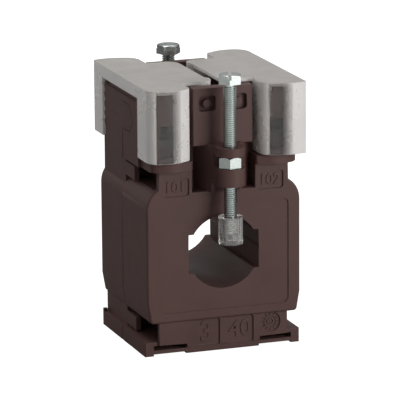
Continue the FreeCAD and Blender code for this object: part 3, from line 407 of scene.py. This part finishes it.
def merged_copy(node: str) -> bmesh.types.BMesh:
    """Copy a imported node's mesh, with its doubled points merged and its flat faces made whole.

    Args:
        node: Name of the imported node.

    Returns:
        A new bmesh in the part's frame.
    """
    bm = bmesh.new()
    bm.from_mesh(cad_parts[node].data)
    bmesh.ops.remove_doubles(bm, verts=bm.verts, dist=MERGE_REACH)
    bmesh.ops.dissolve_limit(
        bm, angle_limit=math.radians(FLAT_ANGLE), use_dissolve_boundaries=False,
        verts=bm.verts, edges=bm.edges, delimit=set(),
    )
    return bm


def soften(bm: bmesh.types.BMesh, width: float, segments: int = 2,
           chosen: Optional[EdgeTest] = None, clamped: bool = True) -> None:
    """Round the sharp edges of a mesh.

    Args:
        bm: The mesh.
        width: Width of the rounding.
        segments: Number of steps across it.
        chosen: A further test that an edge has to pass.
        clamped: Whether every rounding shrinks where one would run into another.
    """
    limit = math.radians(SHARP_ANGLE)
    edges = [
        edge for edge in bm.edges
        if faces_between(edge) > limit and (chosen is None or chosen(edge))
    ]
    bmesh.ops.bevel(
        bm, geom=edges, offset=width, offset_type="OFFSET", affect="EDGES", segments=segments,
        profile=0.5, clamp_overlap=clamped, material=-1,
    )


def finish_piece(bm: bmesh.types.BMesh, name: str, material: bpy.types.Material,
                 body: Body | str, smooth_angle: float = SMOOTH_ANGLE) -> bpy.types.Object:
    """Turn a bmesh into a piece that rides on a body.

    Args:
        bm: The mesh, in the part's frame. It is freed.
        name: Name of the piece.
        material: Its material.
        body: The body that it rides on.
        smooth_angle: Edges sharper than this stay sharp in shading, in degrees.

    Returns:
        The new object.
    """
    mesh = bpy.data.meshes.new(name)
    for face in bm.faces:
        face.smooth = True
    bm.to_mesh(mesh)
    bm.free()
    mesh.set_sharp_from_angle(angle=math.radians(smooth_angle))
    mesh.materials.append(material)
    piece = bpy.data.objects.new(name, mesh)
    bpy.context.scene.collection.objects.link(piece)
    normals = piece.modifiers.new("normals", "WEIGHTED_NORMAL")
    normals.keep_sharp = True
    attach(piece, body.value if isinstance(body, Body) else body)
    LOG.info("made %s with %d faces", name, len(mesh.polygons))
    return piece


class Workshop:
    """The finishes, built once and handed to every sub-assembly."""

    def __init__(self) -> None:
        """Build the shared groups and every finish."""
        groups = Groups()
        self.materials = {slot: finish.build(groups) for slot, finish in FINISHES.items()}
        self.frost = FROST.build(groups)
        self.sheen_walls = [finish.build(groups) for finish in PAINTED_SHEEN_WALLS]
        self.painted_shade_steel = PAINTED_SHADE_STEEL.build(groups)
        self.dull_zinc = DULL_ZINC.build(groups)

    def dress(self, node: str, slot: Slot) -> None:
        """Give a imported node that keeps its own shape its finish.

        Args:
            node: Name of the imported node.
            slot: Its finish.
        """
        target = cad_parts[node]
        target.data.materials.clear()
        target.data.materials.append(self.materials[slot])
        LOG.info("dressed %s", node)

    def softened(self, node: str, name: str, slot: Slot, body: Body | str, width: float,
                 segments: int = 2, smooth_angle: float = SMOOTH_ANGLE,
                 ahead: tuple[tuple[float, EdgeTest], ...] = ()) -> bpy.types.Object:
        """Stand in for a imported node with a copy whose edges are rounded.

        Args:
            node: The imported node.
            name: Name of the new piece.
            slot: Its finish.
            body: The body that it rides on.
            width: Width of the rounding.
            segments: Steps across the rounding.
            smooth_angle: Edges sharper than this stay sharp in shading, in degrees.
            ahead: Widths, each with a test for the edges that are rounded by it before the
                others, at its full width everywhere.

        Returns:
            The new piece.
        """
        bm = merged_copy(node)
        for own_width, chosen in ahead:
            soften(bm, own_width, segments, chosen, clamped=False)
        soften(bm, width, segments)
        piece = finish_piece(bm, name, self.materials[slot], body, smooth_angle)
        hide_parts(node)
        return piece


@dataclass(frozen=True)
class Label:
    """The plain numbers of one label pocket, placed in millimetres on the front shell."""

    front_text: str
    rear_text: str
    size: float
    place: tuple[float, float, float]


LABELS = (
    Label("101", "201", 5.6, (-18.75, -26.5, 63.85)),
    Label("102", "202", 5.6, (18.15, -26.5, 63.85)),
    Label("3", "5", 11.0, (-6.65, -25.5, 7.6)),
    Label("40", "60", 8.6, (6.65, -25.5, 7.6)),
)


@dataclass(frozen=True)
class Dial:
    """A plain dial with ticks, a pointer and two rings, in millimetres.

    A tick and the pointer are given as distance from the middle, length and width.
    """

    place: tuple[float, float, float] = (18.6, -25.5, 9.2)
    height: float = 0.3
    ticks: int = 12
    tick: tuple[float, float, float] = (3.05, 0.55, 0.28)
    pointer: tuple[float, float, float] = (0.35, 2.3, 0.5)
    pointer_turn: float = 60.0
    ring_radii: tuple[float, float] = (2.2, 1.0)
    ring_width: float = 0.28
    ring_steps: int = 40

    def add_to(self, bm: bmesh.types.BMesh) -> None:
        """Add the dial to a mesh, standing on the round pocket's floor.

        Args:
            bm: The mesh that takes it.
        """
        middle = Vector(self.place) * MM
        upright = Matrix.Translation(middle) @ Matrix.Rotation(math.pi / 2, 4, "X")
        bars = [(*self.tick, step * math.tau / self.ticks) for step in range(self.ticks)]
        bars.append((*self.pointer, math.radians(self.pointer_turn)))
        for away, length, width, turn in bars:
            size = Matrix.Diagonal((width * MM, length * MM, self.height * MM, 1))
            spot = Matrix.Translation((0, away * MM, self.height * MM / 2))
            turned = upright @ Matrix.Rotation(turn, 4, "Z")
            bmesh.ops.create_cube(bm, size=1.0, matrix=turned @ spot @ size)
        for inner in self.ring_radii:
            outer = inner + self.ring_width
            ring = [(inner, 0), (inner, self.height), (outer, self.height), (outer, 0)]
            points = [bm.verts.new(upright @ (Vector((out, 0, rise)) * MM)) for out, rise in ring]
            edges = [bm.edges.new(pair) for pair in zip(points, points[1:] + points[:1])]
            bmesh.ops.spin(
                bm, geom=points + edges, cent=middle, axis=(0, -1, 0), angle=math.tau,
                steps=self.ring_steps, use_merge=True,
            )


@dataclass
class Housing:
    """The two shells of the housing, with the numbers pressed into their label pockets."""

    workshop: Workshop
    edge: float = 0.3 * MM
    seam_edge: float = 0.6 * MM
    front_edge: float = 0.3 * MM
    seam_lap: float = 1.4 * MM
    seam_reach: float = 0.02 * MM
    wall_side: float = 28.0 * MM
    short_edge: float = 3.0 * MM
    front_from: float = 25.0 * MM
    front_to: float = 27.5 * MM
    number_extrude: float = 0.13 * MM
    number_bevel: float = 0.04 * MM
    number_swell: float = 0.11 * MM
    number_rise: float = 0.15 * MM
    number_steps: int = 4
    marks_smooth: float = 30.0

    def build(self) -> None:
        """Make both shells and what is pressed into them."""
        ahead = ((self.seam_edge, self.at_seam), (self.front_edge, self.at_front))
        for node in ("front_shell", "rear_shell"):
            self.workshop.softened(node, node.replace("shell", "housing"), Slot.HOUSING,
                                   Body.HOUSING, self.edge, ahead=ahead)
        for turned in (False, True):
            self.marks(turned)

    def at_seam(self, edge: bmesh.types.BMEdge) -> bool:
        """Tell whether an edge runs along the seam on the outside of a side wall.

        Args:
            edge: The edge.

        Returns:
            Whether it does.
        """
        one, two = (vert.co for vert in edge.verts)
        lap = -math.copysign(self.seam_lap, one.x)
        return abs(one.z - two.z) > self.short_edge and all(
            abs(point.y - lap) < self.seam_reach and abs(point.x) > self.wall_side
            for point in (one, two)
        )

    def at_front(self, edge: bmesh.types.BMEdge) -> bool:
        """Tell whether an edge belongs to the large outlines of a face or of its pockets.

        Args:
            edge: The edge.

        Returns:
            Whether it does.
        """
        depth = abs(((edge.verts[0].co + edge.verts[1].co) / 2).y)
        long = edge.calc_length() > self.short_edge
        return long and self.front_from < depth < self.front_to and edge.is_convex

    def marks(self, turned: bool) -> None:
        """Raise the plain numbers and the dial in one shell's pockets.

        Args:
            turned: Whether this is the rear shell, which is the front one turned by half a turn.
        """
        bm = bmesh.new()
        for label in LABELS:
            self.add_number(bm, label.rear_text if turned else label.front_text, label)
        Dial().add_to(bm)
        bmesh.ops.remove_doubles(bm, verts=bm.verts, dist=MERGE_REACH)
        bmesh.ops.recalc_face_normals(bm, faces=bm.faces)
        if turned:
            half_turn = Matrix.Rotation(math.pi, 3, "Z")
            bmesh.ops.rotate(bm, verts=bm.verts, cent=(0, 0, 0), matrix=half_turn)
        finish_piece(bm, "pressed_marks_" + ("rear" if turned else "front"),
                     self.workshop.materials[Slot.HOUSING], Body.HOUSING,
                     self.marks_smooth)

    def add_number(self, bm: bmesh.types.BMesh, text: str, label: Label) -> None:
        """Add a raised number that stands on a pocket's floor and faces the front.

        Args:
            bm: The mesh that takes it.
            text: The digits.
            label: Where they stand, and the height of their line.
        """
        curve = bpy.data.curves.new("number", "FONT")
        curve.body = text
        curve.size = label.size * MM
        curve.align_x = "CENTER"
        curve.align_y = "CENTER"
        curve.extrude = self.number_extrude
        curve.bevel_depth = self.number_bevel
        curve.offset = self.number_swell
        curve.resolution_u = self.number_steps
        holder = bpy.data.objects.new("number", curve)
        mesh = bpy.data.meshes.new_from_object(holder)
        bpy.data.objects.remove(holder)
        bpy.data.curves.remove(curve)
        place = Vector(label.place) * MM + Vector((0, -self.number_rise, 0))
        mesh.transform(Matrix.Translation(place) @ Matrix.Rotation(math.pi / 2, 4, "X"))
        bm.from_mesh(mesh)
        bpy.data.meshes.remove(mesh)


@dataclass
class Covers:
    """The two clear covers over the terminals, with a frosted top and a painted sheen on the
    legs.

    Each leg is cut into upright strips of a millimetre. The distances of the cuts and of the
    clear bands from the middle of the transformer are in millimetres.
    """

    workshop: Workshop
    edge: float = 0.35 * MM
    clear_round: float = 24.4
    clear_square: float = 18.4
    clear_half: float = 3.0
    first_cut: float = 14.4
    cuts: int = 15
    top_slope: float = 0.35
    top_reach: float = 0.6 * MM
    under_slope: float = 0.5
    side_slope: float = 0.6

    def build(self) -> None:
        """Make both covers."""
        for side, body, sign in (("left", Body.LEFT_COVER, -1), ("right", Body.RIGHT_COVER, 1)):
            node = "cover_" + side
            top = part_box(node)[1].z
            bm = merged_copy(node)
            soften(bm, self.edge, chosen=lambda edge: edge.is_convex)
            for step in range(self.cuts):
                across = sign * (self.first_cut + step)
                bmesh.ops.bisect_plane(
                    bm, geom=whole(bm), dist=CUT_REACH, plane_co=(across * MM, 0, 0),
                    plane_no=(1, 0, 0),
                )
            for face in bm.faces:
                face.material_index = self.layer(face, top)
            piece = finish_piece(bm, "terminal_cover_" + side,
                                 self.workshop.materials[Slot.COVER], body)
            for material in (self.workshop.frost, *self.workshop.sheen_walls):
                piece.data.materials.append(material)
            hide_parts(node)

    def layer(self, face: bmesh.types.BMFace, top: float) -> int:
        """Choose how much painted sheen one face gets.

        The top is frosted, and each leg is clear in one upright band only; faces turned aside or
        downward, and strips farther from the band, get less clear materials as painted sheen
        standing in for reflections.

        Args:
            face: The face.
            top: Height of the cover's top.

        Returns:
            The number of the material.
        """
        middle = face.calc_center_median()
        if face.normal.z > self.top_slope and middle.z > top - self.top_reach:
            return CoverFace.FROSTED
        # Faces turned aside or downward get the strongest painted sheen.
        if face.normal.z < -self.under_slope or abs(face.normal.x) > self.side_slope:
            return CoverFace.STRONGEST_SHEEN
        band = self.clear_round if middle.x * middle.y > 0 else self.clear_square
        away = abs(abs(middle.x) / MM - band) - self.clear_half
        if away < 0:
            return CoverFace.CLEAR
        return min(CoverFace.FAINTEST + int(away), CoverFace.STRONGEST_SHEEN)


@dataclass
class Clamp:
    """One clamp: its screw with a real thread, its nut and its clear tip.

    The flanks are the heights, as shares of the pitch, where the thread's crest starts, where
    it ends, and where its root starts again.
    """

    workshop: Workshop
    place: str
    screw_body: Body
    tip_body: Body
    steel_edge: float = 0.14 * MM
    tip_edge: float = 0.16 * MM
    plain_smooth: float = 18.0
    screw_smooth: float = 26.0
    radius: float = 2.5 * MM
    head_height: float = 3.5 * MM
    overlap: float = 0.05 * MM
    pitch: float = 0.8 * MM
    thread_depth: float = 0.52 * MM
    thread_start: float = 0.3 * MM
    flanks: tuple[float, float, float] = (0.38, 0.5, 0.88)
    steps: int = 20
    sides: int = 32
    core_below: float = 0.9
    core_above: float = 1.001
    point_radius: float = 1.6 * MM
    point_length: float = 2.2 * MM
    point_edge: float = 0.2 * MM

    def build(self) -> None:
        """Make the nut, the tip and the screw."""
        self.workshop.softened("clamp_nut_" + self.place, "nut_" + self.place, Slot.STEEL,
                               Body.HOUSING, self.steel_edge, 1, self.plain_smooth)
        self.workshop.softened("clamp_tip_" + self.place, "tip_" + self.place, Slot.TIP,
                               self.tip_body, self.tip_edge, 1, self.plain_smooth)
        self.screw()

    def screw(self) -> None:
        """Make the screw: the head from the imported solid, and a shank with a turned thread."""
        node = "clamp_screw_" + self.place
        low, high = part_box(node)
        axis = Vector(((low.x + high.x) / 2, (low.y + high.y) / 2, 0.0))
        head_base = high.z - self.head_height
        bm = merged_copy(node)
        bmesh.ops.bisect_plane(
            bm, geom=whole(bm), plane_co=(0, 0, head_base - self.overlap), plane_no=(0, 0, 1),
            clear_inner=True,
        )
        rim = [edge for edge in bm.edges if edge.is_boundary]
        bmesh.ops.holes_fill(bm, edges=rim, sides=0)
        soften(bm, self.steel_edge, 1)
        thread = self.thread(axis, low.z, head_base)
        joined = bpy.data.meshes.new("thread")
        thread.to_mesh(joined)
        thread.free()
        bm.from_mesh(joined)
        bpy.data.meshes.remove(joined)
        piece = finish_piece(bm, "screw_" + self.place, self.workshop.materials[Slot.STEEL],
                             self.screw_body, self.screw_smooth)
        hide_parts(node)
        self.point(axis, low.z)

    def point(self, axis: Vector, bottom: float) -> None:
        """Make the thin point below the thread, which the tip's hollow takes; its dark colour is
        painted shade for the shadowed bore.

        Args:
            axis: A point on the screw's axis.
            bottom: Lower end of the thread.
        """
        bm = bmesh.new()
        middle = (axis.x, axis.y, bottom - self.point_length / 2 + self.overlap)
        bmesh.ops.create_cone(
            bm, cap_ends=True, segments=self.sides, radius1=self.point_radius,
            radius2=self.point_radius, depth=self.point_length,
            matrix=Matrix.Translation(middle),
        )
        soften(bm, self.point_edge)
        finish_piece(bm, "screw_point_" + self.place, self.workshop.painted_shade_steel,
                     self.screw_body)

    def thread(self, axis: Vector, bottom: float, top: float) -> bmesh.types.BMesh:
        """Wind a thread's profile round and up the screw's axis.

        Args:
            axis: A point on the axis.
            bottom: Lower end of the shank.
            top: Upper end of the shank.

        Returns:
            The shank: the wound thread round a closed core, which fills it at both ends.
        """
        bm = bmesh.new()
        root = self.radius - self.thread_depth
        turns = int((top - bottom) / self.pitch) - 1
        start = bottom + self.thread_start
        crest_from, crest_to, root_from = (share * self.pitch for share in self.flanks)
        profile = [
            (root, 0.0), (self.radius, crest_from), (self.radius, crest_to), (root, root_from),
            (root, self.pitch),
        ]
        points = [bm.verts.new((axis.x + out, axis.y, start + rise)) for out, rise in profile]
        edges = [bm.edges.new(pair) for pair in zip(points, points[1:])]
        bmesh.ops.spin(
            bm, geom=points + edges, cent=axis, axis=(0, 0, 1),
            dvec=(0, 0, self.pitch / self.steps), angle=math.tau * turns,
            steps=self.steps * turns, use_merge=False, use_duplicate=False,
        )
        bmesh.ops.remove_doubles(bm, verts=bm.verts, dist=MERGE_REACH)
        bmesh.ops.create_cone(
            bm, cap_ends=True, segments=self.sides, radius1=root * self.core_below,
            radius2=root * self.core_above, depth=top - bottom,
            matrix=Matrix.Translation((axis.x, axis.y, (top + bottom) / 2)),
        )
        bmesh.ops.recalc_face_normals(bm, faces=bm.faces)
        return bm


@dataclass
class Terminals:
    """Terminal bars, screws and wire clamp plates under the covers."""

    workshop: Workshop
    edge: float = 0.12 * MM

    def build(self) -> None:
        """Dress the bars and round the edges of the screws and plates."""
        for side in ("left", "right"):
            self.workshop.dress("terminal_bar_" + side, Slot.BAR)
            for end in ("front", "rear"):
                tag = end + "_" + side
                for node, name, body in (
                    ("terminal_screw_" + tag, "terminal_driver_" + tag, tag + "_terminal_screw"),
                    ("wire_clamp_" + tag, "wire_plate_" + tag, tag + "_wire_clamp"),
                ):
                    piece = self.workshop.softened(node, name, Slot.STEEL, body, self.edge)
                    piece.data.materials[0] = self.workshop.dull_zinc


@dataclass
class CoreSet:
    """The core, its winding and its leads, inside the housing."""

    workshop: Workshop

    def build(self) -> None:
        """Dress each inner node."""
        for node, slot in (
            ("core_ring", Slot.CORE), ("core_insulation", Slot.INSULATION),
            ("secondary_winding", Slot.COPPER), ("winding_tape", Slot.TAPE),
            ("secondary_lead_left", Slot.LEAD), ("secondary_lead_right", Slot.LEAD),
        ):
            self.workshop.dress(node, slot)


@dataclass(frozen=True)
class Lamp:
    """A square soft lamp, placed and sized in metres."""

    name: str
    spot: tuple[float, float, float]
    size: float
    power: float
    in_reflections: bool = True


LAMPS = (
    Lamp("key", (0.62, -0.98, 0.25), 0.7, 10.8),
    Lamp("fill", (-0.75, -0.35, 0.35), 0.5, 0.3),
    Lamp("top", (0.05, 0.15, 0.9), 0.6, 3.6),
    Lamp("back", (-0.3, 1.0, 0.32), 0.4, 5.0, in_reflections=False),
)


@dataclass
class Studio:
    """Floor, lamps, world and camera.

    The floor is dark to the lamps but white to the camera, and it glows in reflections of the
    ground before the transformer, from glow_from to glow_to along Y.
    """

    azimuth: float = 19.5595
    elevation: float = 13.5890
    roll: float = -0.4075
    distance: float = 1387.078 * MM
    offset_right: float = 0.068 * MM
    offset_up: float = -50.1089 * MM
    lens: float = 330.0743
    sensor: float = 36.0
    clip: tuple[float, float] = (0.01, 20.0)
    floor_half: float = 6.0
    floor_colour: Colour = (0.2, 0.2, 0.2, 1.0)
    floor_dull: float = 0.9
    floor_specular: float = 0.1
    glow_from: float = -0.05
    glow_to: float = -0.3
    world_light: float = 0.29
    world_gloss: float = 0.2
    world_through: float = 0.45
    lamp_aim: tuple[float, float, float] = (0, 0, 0.05)

    def build(self) -> None:
        """Make the whole studio."""
        self.camera()
        self.floor()
        self.world()
        self.lamps()
        bpy.context.scene.view_settings.view_transform = "Standard"

    def camera(self) -> None:
        """Place the camera at the photograph's viewing angle."""
        turn, tilt, roll = (
            math.radians(value) for value in (self.azimuth, self.elevation, self.roll)
        )
        flat = math.cos(tilt)
        back = Vector((-math.sin(turn) * flat, -math.cos(turn) * flat, math.sin(tilt)))
        right = (-back).cross(Vector((0, 0, 1))).normalized()
        up = right.cross(-back)
        right_rolled = right * math.cos(roll) + up * math.sin(roll)
        up_rolled = -right * math.sin(roll) + up * math.cos(roll)
        place = back * self.distance - right_rolled * self.offset_right
        place -= up_rolled * self.offset_up
        data = bpy.data.cameras.new("camera")
        data.lens = self.lens
        data.sensor_width = self.sensor
        data.clip_start, data.clip_end = self.clip
        camera = bpy.data.objects.new("camera", data)
        facing = Matrix((right_rolled, up_rolled, back)).transposed().to_quaternion()
        camera.matrix_world = Matrix.LocRotScale(place, facing, Vector((1, 1, 1)))
        bpy.context.scene.collection.objects.link(camera)
        bpy.context.scene.camera = camera

    def floor(self) -> None:
        """Lay a wide floor."""
        bm = bmesh.new()
        bmesh.ops.create_grid(bm, x_segments=1, y_segments=1, size=self.floor_half)
        mesh = bpy.data.meshes.new("floor")
        bm.to_mesh(mesh)
        bm.free()
        mesh.materials.append(self.floor_finish())
        floor = bpy.data.objects.new("floor", mesh)
        bpy.context.scene.collection.objects.link(floor)

    def floor_finish(self) -> bpy.types.Material:
        """Make the floor's material.

        Returns:
            The material.
        """
        material = bpy.data.materials.new("floor")
        material.use_nodes = True
        tree = material.node_tree
        links = tree.links
        shader = tree.nodes["Principled BSDF"]
        shader.inputs["Base Color"].default_value = self.floor_colour
        shader.inputs["Roughness"].default_value = self.floor_dull
        shader.inputs["Specular IOR Level"].default_value = self.floor_specular
        glow = add_node(tree, "ShaderNodeEmission", {"Color": WHITE})
        path = add_node(tree, "ShaderNodeLightPath")
        place = add_node(tree, "ShaderNodeTexCoord")
        apart = add_node(tree, "ShaderNodeSeparateXYZ")
        ahead = add_node(tree, "ShaderNodeMapRange", {
            "From Min": self.glow_from, "From Max": self.glow_to, "To Max": 1.0,
        })
        shine = add_math(tree, "MULTIPLY")
        share = add_math(tree, "ADD")
        both = add_node(tree, "ShaderNodeAddShader")
        links.new(place.outputs["Object"], apart.inputs["Vector"])
        links.new(apart.outputs["Y"], ahead.inputs["Value"])
        links.new(ahead.outputs["Result"], shine.inputs[0])
        links.new(path.outputs["Is Glossy Ray"], shine.inputs[1])
        links.new(path.outputs["Is Camera Ray"], share.inputs[0])
        links.new(shine.outputs["Value"], share.inputs[1])
        links.new(share.outputs["Value"], glow.inputs["Strength"])
        links.new(shader.outputs["BSDF"], both.inputs[0])
        links.new(glow.outputs["Emission"], both.inputs[1])
        links.new(both.outputs["Shader"], tree.nodes["Material Output"].inputs["Surface"])
        return material

    def world(self) -> None:
        """Light the scene softly from all round, with a white view behind it."""
        world = bpy.data.worlds.new("studio")
        bpy.context.scene.world = world
        world.use_nodes = True
        tree = world.node_tree
        links = tree.links
        background = tree.nodes["Background"]
        background.inputs["Color"].default_value = WHITE
        path = add_node(tree, "ShaderNodeLightPath")
        seen = add_math(tree, "MAXIMUM")
        through = add_math(tree, "MAXIMUM")
        level = add_node(tree, "ShaderNodeMapRange", {"To Min": self.world_light, "To Max": 1.0})
        shine = add_math(tree, "MULTIPLY", self.world_gloss)
        clear = add_math(tree, "MULTIPLY", self.world_through)
        links.new(path.outputs["Is Glossy Ray"], shine.inputs[0])
        links.new(path.outputs["Is Transmission Ray"], clear.inputs[0])
        links.new(path.outputs["Is Camera Ray"], seen.inputs[0])
        links.new(shine.outputs["Value"], seen.inputs[1])
        links.new(seen.outputs["Value"], through.inputs[0])
        links.new(clear.outputs["Value"], through.inputs[1])
        links.new(through.outputs["Value"], level.inputs["Value"])
        links.new(level.outputs["Result"], background.inputs["Strength"])

    def lamps(self) -> None:
        """Hang the soft lamps: the main one at the front right, three weaker ones round it."""
        for lamp in LAMPS:
            data = bpy.data.lights.new(lamp.name, "AREA")
            data.shape = "SQUARE"
            data.size = lamp.size
            data.energy = lamp.power
            hung = bpy.data.objects.new(lamp.name, data)
            hung.location = lamp.spot
            hung.visible_glossy = lamp.in_reflections
            aim = Vector(self.lamp_aim) - Vector(lamp.spot)
            hung.rotation_euler = aim.to_track_quat("-Z", "Y").to_euler()
            bpy.context.scene.collection.objects.link(hung)


def main() -> None:
    """Build every sub-assembly and the studio."""
    logging.basicConfig(level=logging.INFO, format="%(name)s: %(message)s")
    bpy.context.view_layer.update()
    workshop = Workshop()
    Housing(workshop).build()
    Covers(workshop).build()
    Clamp(workshop, "front", Body.FRONT_SCREW, Body.FRONT_TIP).build()
    Clamp(workshop, "rear", Body.REAR_SCREW, Body.REAR_TIP).build()
    Terminals(workshop).build()
    CoreSet(workshop).build()
    Studio().build()


if __name__ == "__main__":
    main()
